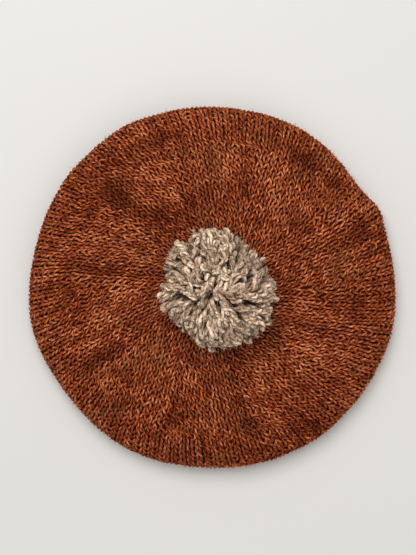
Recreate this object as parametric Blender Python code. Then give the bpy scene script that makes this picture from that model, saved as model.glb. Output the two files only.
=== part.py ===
"""A hand-knitted wool beret with a pompom, lying on its opening as it does on a table.

Metres, +Z up. The table is z = 0 and the head opening is centred on the origin. +Y is the top of
the hat's outline as seen from above. The knitted cloth runs from the drawn-up eye under the pompom
out over the top and round the rim, comes back underneath and turns down into the ribbed band. It is
built as its three knitted sections: the crown down to the middle of the rim, the body from there to
the band, and the band.
"""

import math

import bmesh
import bpy
from mathutils import Vector

# Crown: the knitted cloth, measured over the outside
CROWN_DIAMETER = 0.270
CROWN_WALL = 0.0036
RIM_FOLD_RADIUS = 0.0085
RIM_FOLD_START = 62
RIM_UPRIGHT = 0.0012
CROWN_RISE = 0.0026
EYE_EASE = 0.0005
WEDGES = 10
WEDGE_VALLEY = 0.0006
FIRST_DECREASE_LINE = 28

# Band: the ribbing that grips the head
BAND_DIAMETER = 0.151
BAND_FLARE = 0.0070
BAND_HEIGHT = 0.020
BAND_WALL = 0.0042
BAND_END = 0.0022
RIBS = 45
RIB_WAVE = 0.0007

# Where the cloth turns down into the band
ARCH_RADIUS = 0.0034
LAYER_GAP = 0.0032

# Pompom and the yarn that binds it
POMPOM_DIAMETER = 0.078
POMPOM_HEIGHT = 0.056
POMPOM_OFFSET = 0.0038
POMPOM_SEAT = 0.17
POMPOM_BELOW = 0.44
LOCK_LENGTH = 0.0085
LOCK_TAPER = 0.62
LOCK_DROOP = 0.30
LOCK_UNEVENNESS = 0.28
LOCK_TURN = 2.4
TIE_RADIUS = 0.0030
TIE_SOCKET_DEPTH = 0.012
KNOT_RADIUS = 0.0065
KNOT_HEIGHT = 0.0034

# Clearances between pieces
PIECE_GAP = 0.0003
SEAT_GAP = 0.0005

AZIMUTH_STEPS = 76
RIB_STEPS = 3
TIE_SIDES = 16

# The top of the crown from the eye to the rim. reach is a share of the way from the axis to the
# centre of the rim's fold, height a share of the way from the fold's top to the crown's top.
TOP_SECTIONS = (
    # name, reach, height
    ("eye", None, 0.93),
    ("seat", 0.17, 1.00),
    ("flat", 0.36, 0.99),
    ("shoulder", 0.54, 0.96),
    ("over_band", 0.68, 0.90),
    ("slope", 0.80, 0.76),
    ("low_slope", 0.91, 0.50),
)

# The underside from the rim to the arch. reach is a share of the way from the arch to the centre
# of the rim's fold, height a share of the way from the table up to the arch.
UNDER_SECTIONS = (
    # name, reach, height
    ("lying", 0.80, 0.03),
    ("lifting", 0.54, 0.26),
    ("rising", 0.26, 0.68),
)

# Where the shaping of the outline starts, where the valleys between the wedges lie, and how much
# of the radius the folds take to run out before the rim, all as shares of the crown's radius.
OUTLINE_SHARE = 0.70
VALLEY_START_SHARE = 0.15
VALLEY_END_SHARE = 0.85
RUN_OUT_SHARE = 0.08

# Soft folds of the top. reach and length are shares of the crown's radius, rise is a share of the
# wall, and azimuth and width are degrees, anticlockwise from +X.
FOLDS = (
    # azimuth, width, reach, length, rise
    (172, 6, 0.62, 0.18, -0.42),
    (153, 7, 0.66, 0.16, 0.32),
    (135, 6, 0.75, 0.09, -0.50),
    (126, 9, 0.42, 0.10, -0.36),
    (115, 9, 0.87, 0.06, -0.36),
    (115, 7, 0.64, 0.12, 0.28),
    (101, 6, 0.52, 0.12, -0.32),
    (83, 6, 0.72, 0.12, 0.36),
    (71, 5, 0.58, 0.12, -0.36),
    (62, 5, 0.68, 0.16, 0.36),
    (55, 7, 0.86, 0.06, -0.44),
    (41, 6, 0.88, 0.06, -0.36),
    (28, 5, 0.86, 0.20, 0.48),
    (18, 6, 0.80, 0.12, -0.36),
    (-8, 7, 0.52, 0.12, 0.32),
    (-5, 5, 0.79, 0.07, -0.34),
    (-38, 9, 0.66, 0.15, 0.34),
    (-59, 6, 0.56, 0.12, 0.26),
    (-75, 5, 0.78, 0.08, -0.42),
    (-108, 5, 0.73, 0.10, -0.38),
    (-119, 5, 0.66, 0.12, 0.28),
    (-148, 4, 0.71, 0.16, -0.42),
)

# How the outline, seen from above, leaves a true circle. rise is a share of the crown's radius.
OUTLINE_BUMPS = (
    # azimuth, width, rise
    (25, 4, 0.025),
    (36, 9, -0.024),
    (84, 12, -0.006),
    (120, 6, 0.014),
    (141, 6, 0.006),
    (165, 8, -0.004),
    (191, 8, 0.015),
    (219, 9, -0.011),
    (267, 10, -0.012),
    (306, 5, 0.008),
    (324, 7, 0.007),
    (346, 9, 0.016),
)

# The pompom's uneven trim, seen from above. rise is a share of its radius.
POMPOM_LOBES = (
    # azimuth, width, rise
    (4, 12, 0.02),
    (-62, 26, 0.06),
    (-133, 14, -0.08),
    (-175, 10, 0.03),
    (163, 8, -0.10),
    (135, 16, 0.07),
    (98, 12, 0.06),
    (42, 24, -0.14),
)

# The knot inside the crown. radius is a share of its own radius, drop a share of its height.
KNOT_SECTIONS = (
    # radius, drop
    (0.72, 1.00),
    (1.00, 0.55),
    (0.86, 0.12),
)

RUST = (0.29, 0.082, 0.026)
DARK_RUST = (0.22, 0.060, 0.020)
OATMEAL = (0.47, 0.37, 0.28)
DARK_OATMEAL = (0.36, 0.28, 0.20)
WOOL_ROUGHNESS = 0.95


def eye_radius():
    """Radius of the drawn-up eye, which the binding yarn passes through."""
    return TIE_RADIUS + EYE_EASE


def rim_radius():
    """Radius of the rim's middle line, where the cloth stands upright."""
    return CROWN_DIAMETER / 2 - CROWN_WALL / 2


def fold_centre():
    """(radius, height) of the centre of the rim's round fold."""
    return Vector((rim_radius() - RIM_FOLD_RADIUS, CROWN_WALL / 2 + RIM_FOLD_RADIUS + RIM_UPRIGHT))


def rim_end(up):
    """The upright stretch beside the rim's middle, where the crown (up is 1) meets the body (-1)."""
    middle = fold_centre().y
    return [
        Vector((rim_radius(), middle + up * RIM_UPRIGHT)),
        Vector((rim_radius(), middle + up * PIECE_GAP / 2)),
    ]


def band_top_radius():
    return BAND_DIAMETER / 2 + BAND_FLARE


def arch_top():
    """Height of the cloth's middle where it turns over into the band."""
    return BAND_HEIGHT + PIECE_GAP + BAND_END + ARCH_RADIUS


def crown_top():
    """Height of the cloth's middle at the top, which clears the arch by the gap between layers."""
    return arch_top() + CROWN_WALL + LAYER_GAP + CROWN_RISE


def arc(centre, radius, first, last, steps):
    """Points of an arc, with its angles in degrees from the outward direction."""
    angles = [math.radians(first + (last - first) * i / steps) for i in range(steps + 1)]
    return [centre + Vector((math.cos(a), math.sin(a))) * radius for a in angles]


def crown_profile():
    """(radius, height) of the cloth's middle, from the eye out to the middle of the rim."""
    upper = fold_centre() + Vector((0, RIM_UPRIGHT))
    fold = arc(upper, RIM_FOLD_RADIUS, RIM_FOLD_START, 0, 2)
    start = fold[0]
    top = []
    for _, reach, height in TOP_SECTIONS:
        radius = eye_radius() if reach is None else reach * start.x
        top.append(Vector((radius, start.y + height * (crown_top() - start.y))))
    return top + fold[:-1] + rim_end(1)


def body_profile():
    """(radius, height) of the cloth's middle, from the middle of the rim to the band."""
    fold = arc(fold_centre() - Vector((0, RIM_UPRIGHT)), RIM_FOLD_RADIUS, 0, -90, 3)
    foot = fold[-1]
    arch_r = band_top_radius() + ARCH_RADIUS
    arch_z = arch_top() - ARCH_RADIUS
    near = arch_r + ARCH_RADIUS
    under = []
    for _, reach, height in UNDER_SECTIONS:
        under.append(Vector((near + reach * (foot.x - near), foot.y + height * (arch_z - foot.y))))
    arch = arc(Vector((arch_r, arch_z)), ARCH_RADIUS, 30, 180, 3)
    joined = Vector((band_top_radius(), BAND_HEIGHT + PIECE_GAP))
    return rim_end(-1)[::-1] + fold[1:] + under + arch + [joined]


def bell(angle, centre, width):
    """1 at the centre azimuth, falling off smoothly over the width, all in degrees."""
    away = (angle - centre + 180) % 360 - 180
    return math.exp(-((away / width) ** 2) / 2)


def outline_share(azimuth):
    """Radius of the outline at this azimuth, as a share of the true circle's."""
    return 1 + sum(rise * bell(azimuth, at, width) for at, width, rise in OUTLINE_BUMPS)


def fold_height(azimuth, reach):
    """Rise of the crown's top at this azimuth and share of its radius, in metres."""
    rise = 0.0
    for at, width, place, length, share in FOLDS:
        along = math.exp(-(((reach - place) / length) ** 2) / 2)
        rise += share * CROWN_WALL * along * bell(azimuth, at, width)
    rise *= min(1.0, max(0.0, (1.0 - reach) / RUN_OUT_SHARE))
    along = (reach - VALLEY_START_SHARE) / (VALLEY_END_SHARE - VALLEY_START_SHARE)
    between = math.sin(math.pi * min(1.0, max(0.0, along)))
    wedge = math.cos(math.radians(WEDGES * (azimuth - FIRST_DECREASE_LINE)))
    return rise - WEDGE_VALLEY * between * max(0.0, wedge) ** 2


def cloth_middle(azimuth, radius, height, on_top):
    """A point of the cloth's middle surface, with the outline and the folds put in."""
    reach = radius / rim_radius()
    outer = max(0.0, (reach - OUTLINE_SHARE) / (1 - OUTLINE_SHARE))
    swell = (outline_share(azimuth) - 1) * outer**2
    turn = math.radians(azimuth)
    if on_top:
        height += fold_height(azimuth, reach)
    far = radius * (1 + swell)
    return Vector((far * math.cos(turn), far * math.sin(turn), height))


def crown_top_surface(azimuth, radius):
    """Height of the crown's outer surface on its flat top, near the pompom."""
    profile = crown_profile()
    for a, b in zip(profile, profile[1:]):
        if a.x <= radius <= b.x:
            height = a.y + (b.y - a.y) * (radius - a.x) / (b.x - a.x)
            break
    else:
        height = profile[0].y
    return height + CROWN_WALL / 2 + max(0.0, fold_height(azimuth, radius / rim_radius()))


def material(name, colour):
    made = bpy.data.materials.new(name)
    made.use_nodes = True
    shader = made.node_tree.nodes["Principled BSDF"]
    shader.inputs["Base Color"].default_value = (*colour, 1.0)
    shader.inputs["Roughness"].default_value = WOOL_ROUGHNESS
    shader.inputs["Metallic"].default_value = 0.0
    return made


def node(name, bm, look):
    """The bmesh as a named object with its material, shaded smooth."""
    mesh = bpy.data.meshes.new(name)
    bm.to_mesh(mesh)
    bm.free()
    mesh.materials.append(look)
    mesh.shade_smooth()
    made = bpy.data.objects.new(name, mesh)
    bpy.context.scene.collection.objects.link(made)
    return made


def tube_of_rings(rings):
    """A bmesh of quads between closed rings of points, open at the first and last ring."""
    bm = bmesh.new()
    rows = [[bm.verts.new(point) for point in ring] for ring in rings]
    count = len(rows[0])
    for inner, outer in zip(rows, rows[1:]):
        for i in range(count):
            j = (i + 1) % count
            bm.faces.new((inner[i], outer[i], outer[j], inner[j]))
    return bm


def thicken(made, wall):
    """Gives a middle surface its wall, half to each side."""
    solidify = made.modifiers.new("wall", "SOLIDIFY")
    solidify.thickness = wall
    solidify.offset = 0.0
    solidify.use_even_offset = True
    return made


def build_cloth(name, profile, on_top, look):
    """A knitted section: its profile taken round the hat, and given the cloth's wall."""
    turns = [360 * step / AZIMUTH_STEPS for step in range(AZIMUTH_STEPS)]
    rings = [[cloth_middle(turn, p.x, p.y, on_top) for turn in turns] for p in profile]
    return thicken(node(name, tube_of_rings(rings), look), CROWN_WALL)


def build_band(look):
    """The ribbed ring: upright at its cast-on edge and its top, and leaning out between them."""
    low = BAND_DIAMETER / 2
    levels = (
        (low, 0.0),
        (low, BAND_END),
        (band_top_radius(), BAND_HEIGHT - BAND_END),
        (band_top_radius(), BAND_HEIGHT),
    )
    steps = RIBS * RIB_STEPS
    rings = []
    for radius, height in reversed(levels):
        ring = []
        for step in range(steps):
            turn = 2 * math.pi * step / steps
            far = radius + RIB_WAVE * math.sin(RIBS * turn)
            ring.append(Vector((far * math.cos(turn), far * math.sin(turn), height)))
        rings.append(ring)
    return thicken(node("band", tube_of_rings(rings), look), BAND_WALL)


def pompom_centre():
    seat = crown_top_surface(0, POMPOM_SEAT * rim_radius()) + SEAT_GAP
    return Vector((POMPOM_OFFSET, 0.0, seat + POMPOM_BELOW * POMPOM_HEIGHT))


def pompom_share(direction):
    """Uneven trim of the pompom in this direction, as a share of its radius."""
    azimuth = math.degrees(math.atan2(direction.y, direction.x))
    level = math.hypot(direction.x, direction.y)
    return 1 + level * sum(rise * bell(azimuth, at, w) for at, w, rise in POMPOM_LOBES)


def over_crown(point):
    """The point, lifted where it would reach into the crown."""
    azimuth = math.degrees(math.atan2(point.y, point.x))
    least = crown_top_surface(azimuth, math.hypot(point.x, point.y)) + SEAT_GAP
    return Vector((point.x, point.y, max(point.z, least)))


def build_pompom(look):
    """A round head with a tapered lock of yarn ends drawn out of each face, flat underneath."""
    centre = pompom_centre()
    across = POMPOM_DIAMETER / 2 - LOCK_LENGTH
    up = (1 - POMPOM_BELOW) * POMPOM_HEIGHT - LOCK_LENGTH
    bm = bmesh.new()
    bmesh.ops.create_icosphere(bm, subdivisions=3, radius=1.0)
    for vert in bm.verts:
        way = vert.co.normalized()
        vert.co = Vector((way.x * across, way.y * across, way.z * up)) * pompom_share(way)
    locks = bmesh.ops.extrude_discrete_faces(bm, faces=bm.faces[:])["faces"]
    for number, face in enumerate(locks):
        middle = face.calc_center_median()
        out = middle.normalized()
        outward = Vector((out.x, out.y, 0.0))
        droop = outward * LOCK_DROOP + Vector((0.0, 0.0, -LOCK_DROOP * outward.length))
        uneven = 1.0 + LOCK_UNEVENNESS * math.sin(LOCK_TURN * number)
        tip = middle + (out + droop).normalized() * LOCK_LENGTH * uneven
        for vert in face.verts:
            vert.co = tip + (vert.co - middle) * LOCK_TAPER
    for vert in bm.verts:
        vert.co = over_crown(vert.co + centre)
    bmesh.ops.recalc_face_normals(bm, faces=bm.faces[:])
    pompom = node("pompom", bm, look)
    cut_tie_socket(pompom)
    return pompom


def cut_tie_socket(pompom):
    """The hollow at the pompom's waist that its binding yarn fills."""
    top = tie_levels()[-1][1] + PIECE_GAP
    bottom = crown_top() - CROWN_WALL
    bm = bmesh.new()
    bmesh.ops.create_cone(
        bm,
        cap_ends=True,
        segments=TIE_SIDES,
        radius1=TIE_RADIUS + PIECE_GAP,
        radius2=TIE_RADIUS + PIECE_GAP,
        depth=top - bottom,
    )
    bmesh.ops.translate(bm, verts=bm.verts[:], vec=(0.0, 0.0, (top + bottom) / 2))
    mesh = bpy.data.meshes.new("tie_socket")
    bm.to_mesh(mesh)
    bm.free()
    cutter = bpy.data.objects.new("tie_socket", mesh)
    bpy.context.scene.collection.objects.link(cutter)
    cutter.hide_render = True
    cutter.display_type = "WIRE"
    boolean = pompom.modifiers.new("tie_socket", "BOOLEAN")
    boolean.operation = "DIFFERENCE"
    boolean.object = cutter


def tie_levels():
    """(radius, height) up the binding yarn: the flat knot inside the crown, then the yarn itself."""
    inside = crown_profile()[0].y - CROWN_WALL / 2 - PIECE_GAP
    end = crown_top_surface(0, eye_radius()) + SEAT_GAP + TIE_SOCKET_DEPTH
    knot = [(KNOT_RADIUS * share, inside - KNOT_HEIGHT * drop) for share, drop in KNOT_SECTIONS]
    return knot + [(TIE_RADIUS, inside), (TIE_RADIUS, end)]


def build_tie(look):
    rings = []
    for radius, height in reversed(tie_levels()):
        turns = [2 * math.pi * step / TIE_SIDES for step in range(TIE_SIDES)]
        rings.append([Vector((radius * math.cos(a), radius * math.sin(a), height)) for a in turns])
    bm = tube_of_rings(rings)
    bmesh.ops.holes_fill(bm, edges=[edge for edge in bm.edges if edge.is_boundary])
    bmesh.ops.recalc_face_normals(bm, faces=bm.faces[:])
    return node("pompom_tie", bm, look)


def main():
    for made in list(bpy.data.objects):
        bpy.data.objects.remove(made)
    build_cloth("crown", crown_profile(), True, material("rust_wool", RUST))
    build_cloth("body", body_profile(), False, material("rust_wool_body", RUST))
    build_band(material("rust_rib", DARK_RUST))
    build_pompom(material("oatmeal_wool", OATMEAL))
    build_tie(material("tie_yarn", DARK_OATMEAL))


main()
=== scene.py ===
"""The looks of the hand-knitted beret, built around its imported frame.

Every stitch is modelled as a loop of yarn. The loops of one round make one closed ring of yarn,
and each round's loops come up through the heads of the round before. The rounds run from the
cast-on edge of the ribbed band, round the rim and over the top to the drawn-up eye. All of them
lie on one curved cloth surface, whose sizes are those of part.py. The pompom is made of bent
strands of two-ply yarn. Lengths are in metres and azimuths in degrees.
"""

import math
from collections import namedtuple

import bpy
import numpy as np
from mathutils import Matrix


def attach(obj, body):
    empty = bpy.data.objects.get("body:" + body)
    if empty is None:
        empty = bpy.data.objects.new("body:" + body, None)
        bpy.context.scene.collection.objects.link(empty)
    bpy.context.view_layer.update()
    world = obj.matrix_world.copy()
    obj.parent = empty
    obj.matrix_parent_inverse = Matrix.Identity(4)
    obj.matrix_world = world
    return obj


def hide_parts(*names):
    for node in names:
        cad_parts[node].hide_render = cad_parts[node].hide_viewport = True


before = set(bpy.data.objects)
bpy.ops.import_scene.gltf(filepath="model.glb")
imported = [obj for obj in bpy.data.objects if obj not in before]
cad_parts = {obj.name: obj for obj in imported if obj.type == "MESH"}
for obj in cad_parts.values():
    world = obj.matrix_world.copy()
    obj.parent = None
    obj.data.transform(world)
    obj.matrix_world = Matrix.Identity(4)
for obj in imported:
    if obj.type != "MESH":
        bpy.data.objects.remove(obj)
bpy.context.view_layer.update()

# The cloth's sizes, as part.py has them
CROWN_DIAMETER = 0.270
CROWN_WALL = 0.0036
RIM_FOLD_RADIUS = 0.0085
RIM_FOLD_START = 62
RIM_UPRIGHT = 0.0012
CROWN_RISE = 0.0026
EYE_RADIUS = 0.0035
EYE_HEIGHT_SHARE = 0.93
BAND_DIAMETER = 0.151
BAND_FLARE = 0.0070
BAND_HEIGHT = 0.020
BAND_END = 0.0022
ARCH_RADIUS = 0.0034
ARCH_START = 30
LAYER_GAP = 0.0032
PIECE_GAP = 0.0003
WEDGES = 10
WEDGE_VALLEY = 0.0006
FIRST_DECREASE_LINE = 28
OUTLINE_SHARE = 0.70
VALLEY_START_SHARE = 0.15
VALLEY_END_SHARE = 0.85
RUN_OUT_SHARE = 0.08

# The profile of the top and of the underside, as shares of their width and height
TOP_SECTIONS = (
    # reach, height
    (0.17, 1.00),
    (0.36, 0.99),
    (0.54, 0.96),
    (0.68, 0.90),
    (0.80, 0.76),
    (0.91, 0.50),
)
UNDER_SECTIONS = (
    # reach, height
    (0.80, 0.03),
    (0.54, 0.26),
    (0.26, 0.68),
)
# Soft folds of the top: reach and length are shares of the radius, and rise of the wall
FOLDS = (
    # azimuth, width, reach, length, rise
    (172, 6, 0.62, 0.18, -0.42),
    (153, 7, 0.66, 0.16, 0.32),
    (135, 6, 0.75, 0.09, -0.50),
    (126, 9, 0.42, 0.10, -0.36),
    (115, 9, 0.87, 0.06, -0.36),
    (115, 7, 0.64, 0.12, 0.28),
    (101, 6, 0.52, 0.12, -0.32),
    (83, 6, 0.72, 0.12, 0.36),
    (71, 5, 0.58, 0.12, -0.36),
    (62, 5, 0.68, 0.16, 0.36),
    (55, 7, 0.86, 0.06, -0.44),
    (41, 6, 0.88, 0.06, -0.36),
    (28, 5, 0.86, 0.20, 0.48),
    (18, 6, 0.80, 0.12, -0.36),
    (-8, 7, 0.52, 0.12, 0.32),
    (-5, 5, 0.79, 0.07, -0.34),
    (-38, 9, 0.66, 0.15, 0.34),
    (-59, 6, 0.56, 0.12, 0.26),
    (-75, 5, 0.78, 0.08, -0.42),
    (-108, 5, 0.73, 0.10, -0.38),
    (-119, 5, 0.66, 0.12, 0.28),
    (-148, 4, 0.71, 0.16, -0.42),
)
# Smaller forms of the top: reach is a share of the radius, width and length are in millimetres,
# and rise is a share of RELIEF_DEPTH. The yarn also gets painted shade in the dents and painted
# light on the swells.
DENTS_AND_SWELLS = (
    # azimuth, reach, width, length, rise
    (136, 0.71, 5, 11, -0.75),
    (128, 0.50, 5, 6, -0.35),
    (148, 0.78, 4, 5, -0.40),
    (103, 0.48, 5, 5, -0.35),
    (110, 0.85, 12, 4, -0.45),
    (82, 0.85, 5, 4, -0.30),
    (55, 0.855, 8, 5, -0.60),
    (41, 0.89, 6, 4, -0.30),
    (21, 0.83, 5, 8, -0.40),
    (39, 0.565, 6, 2.5, -0.30),
    (70, 0.525, 4, 6, -0.30),
    (171, 0.61, 3, 14, -0.50),
    (181, 0.77, 5, 5, -0.35),
    (-6, 0.775, 5, 5, -0.35),
    (-10, 0.67, 4, 4, -0.25),
    (-148, 0.76, 3, 15, -0.50),
    (-140, 0.705, 4, 4, -0.30),
    (-107, 0.70, 4, 9, -0.45),
    (-74, 0.775, 5, 5, -0.65),
    (-78, 0.645, 5, 5, -0.30),
    (-53, 0.92, 12, 6, -0.30),
    (-47, 0.73, 5, 4, -0.30),
    (-128, 0.83, 6, 9, -0.30),
    (149, 0.58, 7, 9, 0.35),
    (181, 0.49, 6, 8, 0.55),
    (-163, 0.66, 8, 9, 0.22),
    (116, 0.67, 8, 8, 0.34),
    (111, 0.53, 5, 5, 0.50),
    (82, 0.70, 6, 6, 0.45),
    (66, 0.74, 6, 7, 0.35),
    (60, 0.60, 6, 9, 0.40),
    (27, 0.80, 5, 20, 0.50),
    (-9, 0.50, 7, 7, 0.55),
    (-35, 0.656, 9, 12, 0.32),
    (-105, 0.516, 6, 8, 0.30),
    (-60, 0.54, 8, 9, 0.35),
    (-117, 0.68, 7, 7, 0.30),
    (-155, 0.70, 4, 10, 0.25),
    (97, 0.90, 16, 5, 0.25),
    (173, 0.87, 8, 8, 0.25),
    (156, 0.74, 5, 8, 0.30),
    (193, 0.56, 6, 8, 0.15),
    (-154, 0.83, 6, 7, 0.20),
    (50, 0.58, 5, 10, 0.25),
    (120, 0.43, 8, 5, -0.30),
    (-85, 0.93, 20, 6, -0.15),
)
# Bumps of the outline, with their rise as a share of the radius
OUTLINE_BUMPS = (
    # azimuth, width, rise
    (25, 4, 0.025),
    (36, 9, -0.024),
    (84, 12, -0.006),
    (120, 6, 0.014),
    (141, 6, 0.006),
    (165, 8, -0.004),
    (191, 8, 0.015),
    (219, 9, -0.011),
    (267, 10, -0.012),
    (306, 5, 0.008),
    (324, 7, 0.007),
    (346, 9, 0.016),
)

# How finely the cloth's profile is cut, and how far its corners are rounded off
FOLD_TOP_STEPS = 8
FOLD_FOOT_STEPS = 10
ARCH_STEPS = 6
PROFILE_SPACING = 0.0004
PROFILE_SOFTNESS = 0.0018
NORMAL_STEP = 0.0012

# The cloth's unevenness. Waves are a count and their fewest and most radians a metre. Dents may be
# deeper towards the rim, from the first of the two reaches to the second.
CLOTH_WAVES = (14, 120, 330)
CLOTH_WANDER = 0.0007
CLOTH_RIPPLE = 0.0005
MM_PER_METRE = 1000
RELIEF_DEPTH = 0.0034
SHALLOW_DENT = 0.0017
DEEP_DENT = 0.0034
DEEP_DENT_REACHES = (0.68, 0.78)
TOP_FADE = 0.012

# The stitches. Shares without another word are of a stitch's width or height.
STITCHES_PER_WEDGE = 13
RIB_STITCHES_PER_WEDGE = 9
LAST_STITCHES_PER_WEDGE = 2
ROUNDS_PER_DECREASE = 2
SHAPING_RADIUS = 0.111
ROUND_PITCH = 0.00462
RIB_PITCH = 0.0041
LAST_RIB_SHARE = 0.4
DECREASE_SPREAD = 0.22
LOOP_HEIGHT = 0.82
LOOP_LEAN = 0.265
LEG_STRAIGHTENING = 0.045
LOOP_DEPTH = 0.00160
RIB_DEPTH = 0.0011
RIB_SMOOTHINGS = 2
RIM_FLATTENING = 0.40
RIM_WIDENING = 0.12
RIM_SPREAD = 0.008
SKEW_AT_RIM = 10
SKEW_INSIDE = 1
SKEW_RADII = (0.100, 0.118)

# How much the stitches differ, as standard deviations
PLACE_JITTER = 0.04
LEAN_JITTER = 0.22
HEIGHT_JITTER = 0.06
DEPTH_JITTER = 0.14

# The yarn of the knitting. Its width is a share of the stitch where that is less than YARN_WIDTH.
# Pairs are a share of it at the ends of a loop, or at its thinnest, and what is added to that.
YARN_SHARE = 0.37
YARN_WIDTH = 0.0025
YARN_THICKNESS = 0.0020
WIDTH_SHARES = (0.84, 0.20)
THICKNESS_SHARES = (0.90, 0.12)
YARN_TWIST = 0.0085
YARN_PLY_DEPTH = 0.14
PLAIN_TWIST = 0.009
TWIST_STARTS = 40
UNEVEN_WIDTH = (0.92, 0.16)
UNEVEN_WIDTH_STITCHES = 2.3
FEWEST_KNOTS = 3
TABLE_CLEARANCE = 0.0001

# The cast-on edge, and the yarn that gathers the last round. Waves are a count and a height, and
# what is called yarn is its half width, shade and openness. Openness under 1 paints shade on it.
CAST_ON_RADIUS = 0.0008
CAST_ON_HEIGHT = 0.0015
CAST_ON_STEPS_PER_WRAP = 8
CAST_ON_HALF_WIDTH = 0.42 * YARN_WIDTH
CAST_ON_TILT = 0.3
CAST_ON_SHADES = (0.3, 0.4)
CAST_ON_SHADE_PITCH = 21
CAST_ON_OPENNESS = 0.8
GATHER_STEPS = 48
GATHER_YARN = (0.45 * YARN_WIDTH, 0.4, 0.5)
GATHER_SIDEWAYS = (7, 0.0006)
GATHER_UPWARDS = (11, 0.0007)

# The pieces of knitting: how far the rim's piece reaches past the middle of the rim, and the rings
# of a stitch and the sides of its yarn
RIM_OVERLAP = 0.004
FINE_LOOP = (12, 6)
PLAIN_LOOP = (10, 5)
RIB_LOOP = (10, 6)
INSIDE_GRID = (60, 90)

# The yarn's light and dark: random tone, and painted shade and light. Openness is 0 in the hollows
# and 1 outside. As far as it is under 1, shade is painted into the yarn, in the hollows between
# the loops and at the legs' ends, with less of it at the rim and in the ribbing. Dents get painted
# shade, swells get painted light, and the shoulder gets painted shade.
PAINTED_DENT_SHADE = 1.35
PAINTED_SWELL_LIGHT = 0.95
STITCH_SHADE = 0.85
STITCH_SHADE_STITCHES = 0.52
STREAK_SHADE = 0.16
STREAK_WAVES = 12
STREAK_COUNTS = (14, 75)
STREAK_SLANT = 45
STREAK_STARTS = 6.3
BLOTCH_SHADE = 0.16
BLOTCH_WAVES = (24, 250, 900)
PAINTED_SHOULDER_SHADE = 0.08
SHOULDER_REACHES = (0.75, 0.90)
HOLLOW_TO_OPEN = (0.32, 0.86)
PAINTED_LEG_END_SHADE = 0.85
LEG_END_TO_MIDDLE = (0.40, 0.90)
RIM_OPENNESS = 0.75
RIB_OPENNESS = 0.60

# The fine fibres that stand off the yarn
FIBRE_WIDTH = 0.00018
FIBRE_TAPER = (1.0, 0.8, 0.05)
FIBRE_BEND = 0.45
FIBRE_SHADES = (0.5, 1.0)
FIBRE_SIDES = 3
FIBRE_LENGTHS = (0.0012, 0.0036)
FIBRE_LEG_SHARE = 0.4
FIBRE_OUTWARD = 0.35
FIBRE_SCATTER = 0.4
FIBRE_ROOT = 0.45

# The pompom. Its lobes' rise is a share of its radius.
POMPOM_DIAMETER = 0.078
POMPOM_HEIGHT = 0.056
POMPOM_OFFSET = 0.0038
POMPOM_SEAT = 0.17
POMPOM_BELOW = 0.44
POMPOM_LOBES = (
    # azimuth, width, rise
    (4, 12, 0.02),
    (-62, 26, 0.06),
    (-133, 14, -0.08),
    (-175, 10, 0.03),
    (163, 8, -0.10),
    (135, 16, 0.07),
    (98, 12, 0.06),
    (42, 24, -0.14),
)
POMPOM_CORE = 0.62
CORE_GRID = (16, 32)
CORE_LATITUDE = 89
PARTING = (-0.0070, -0.0045)
PARTING_SPREAD = 0.012
UPPER_FROM_TO = (-0.004, 0.010)

# Its strands. Levels run from 1 at the top down, and t from 0 at a strand's root to 1 at its tip.
STRANDS = 600
STRAND_WIDTH = 0.0037
STRAND_RINGS = 20
STRAND_SIDES = 8
STRAND_TWIST = 0.0150
STRAND_PLY_DEPTH = 0.20
STRAND_CLEARANCE = 0.4
LEVEL_SPAN = 1.6
LEVEL_CROWDING = 1.3
WAY_SCATTER = 0.10
ROOT_SHARE = 0.55
REACHES = (0.84, 1.03)
TRIMS = (0.90, 1.09)
RISE_END = 0.72
RISE_POWER = 1.6

# How strands turn aside, alone and in clumps, and how far they are laid over
CLUMPS = 90
CLUMP_TIGHTNESS = 24
CLUMP_TURN = 0.4
STRAND_TURN = 0.45
TURN_SHARES = (0.7, 0.6)
PARTING_TURN = 2.5
BEND_START = 0.30
BEND_POWER = 1.7
LAID_LENGTHS = (0.003, 0.013)
LAID_SHARES = (0.30, 0.85)
LAID_LESS_ABOVE = 0.35
ARCH_LIFTS = (0.0005, 0.0038)
ARCH_TURN = 2.2
TIP_DROP = 0.004
TIP_DROP_LESS = 0.6
WAVE_HEIGHT = 0.0007
WAVE_TURNS = (5, 11)
WAVE_STARTS = (0, 6)

# The strands' width, light and dark, and fibres. Openness paints shade on the strands deep in
# the pompom and on their inner sides.
STRAND_WIDTHS = (0.80, 1.15)
TIP_FROM = 0.6
TIP_WIDENING = 0.3
TIP_ROUNDING = 0.86
CLOSED_END = 0.05
STRAND_SHADE = 0.75
TIP_SHADE = 0.25
SIDE_OPENNESS = (0.45, 0.55)
SIDE_FROM_TO = (-0.5, 0.9)
DEEP_TO_OPEN = (0.70, 0.98)
FRAYS = (0.05, 0.22)
FRAY_END = 0.95
STRAND_FIBRES = 8
STRAND_FIBRE_LENGTHS = (0.0010, 0.0032)
STRAND_FIBRE_OUTWARD = 0.15
STRAND_FIBRE_SCATTER = 0.28
STRAND_FIBRE_ROOT = 0.46
STRAND_FIBRE_ROUND = 0.8
TIP_FIBRE_EVERY = 3

# The yarn that ties the pompom on
TIE_SIDES = 8
KNOT_SCALE = 0.0013
KNOT_STEPS = 72
KNOT_YARN = (0.00145, 0.6, 1.0)
STEM_STEPS = 24
STEM_TURNS = 1.5
STEM_RADIUS = 0.0012
# Openness under 1 paints shade on the stems
STEM_YARN = (0.0012, 0.5, 0.6)
STEM_SHARE = 0.5
TAIL_LENGTH = 0.013
TAIL_WAYS = ((0.8, 0.35, -0.5), (-0.6, 0.5, -0.6))
TAIL_SAG = 0.45
TAIL_HALF_WIDTH = 0.0014
TAIL_WIDENING = 0.25
TAIL_AIM = (0.3, -1.0, 0.2)
TAIL_SHADE = 0.7
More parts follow.
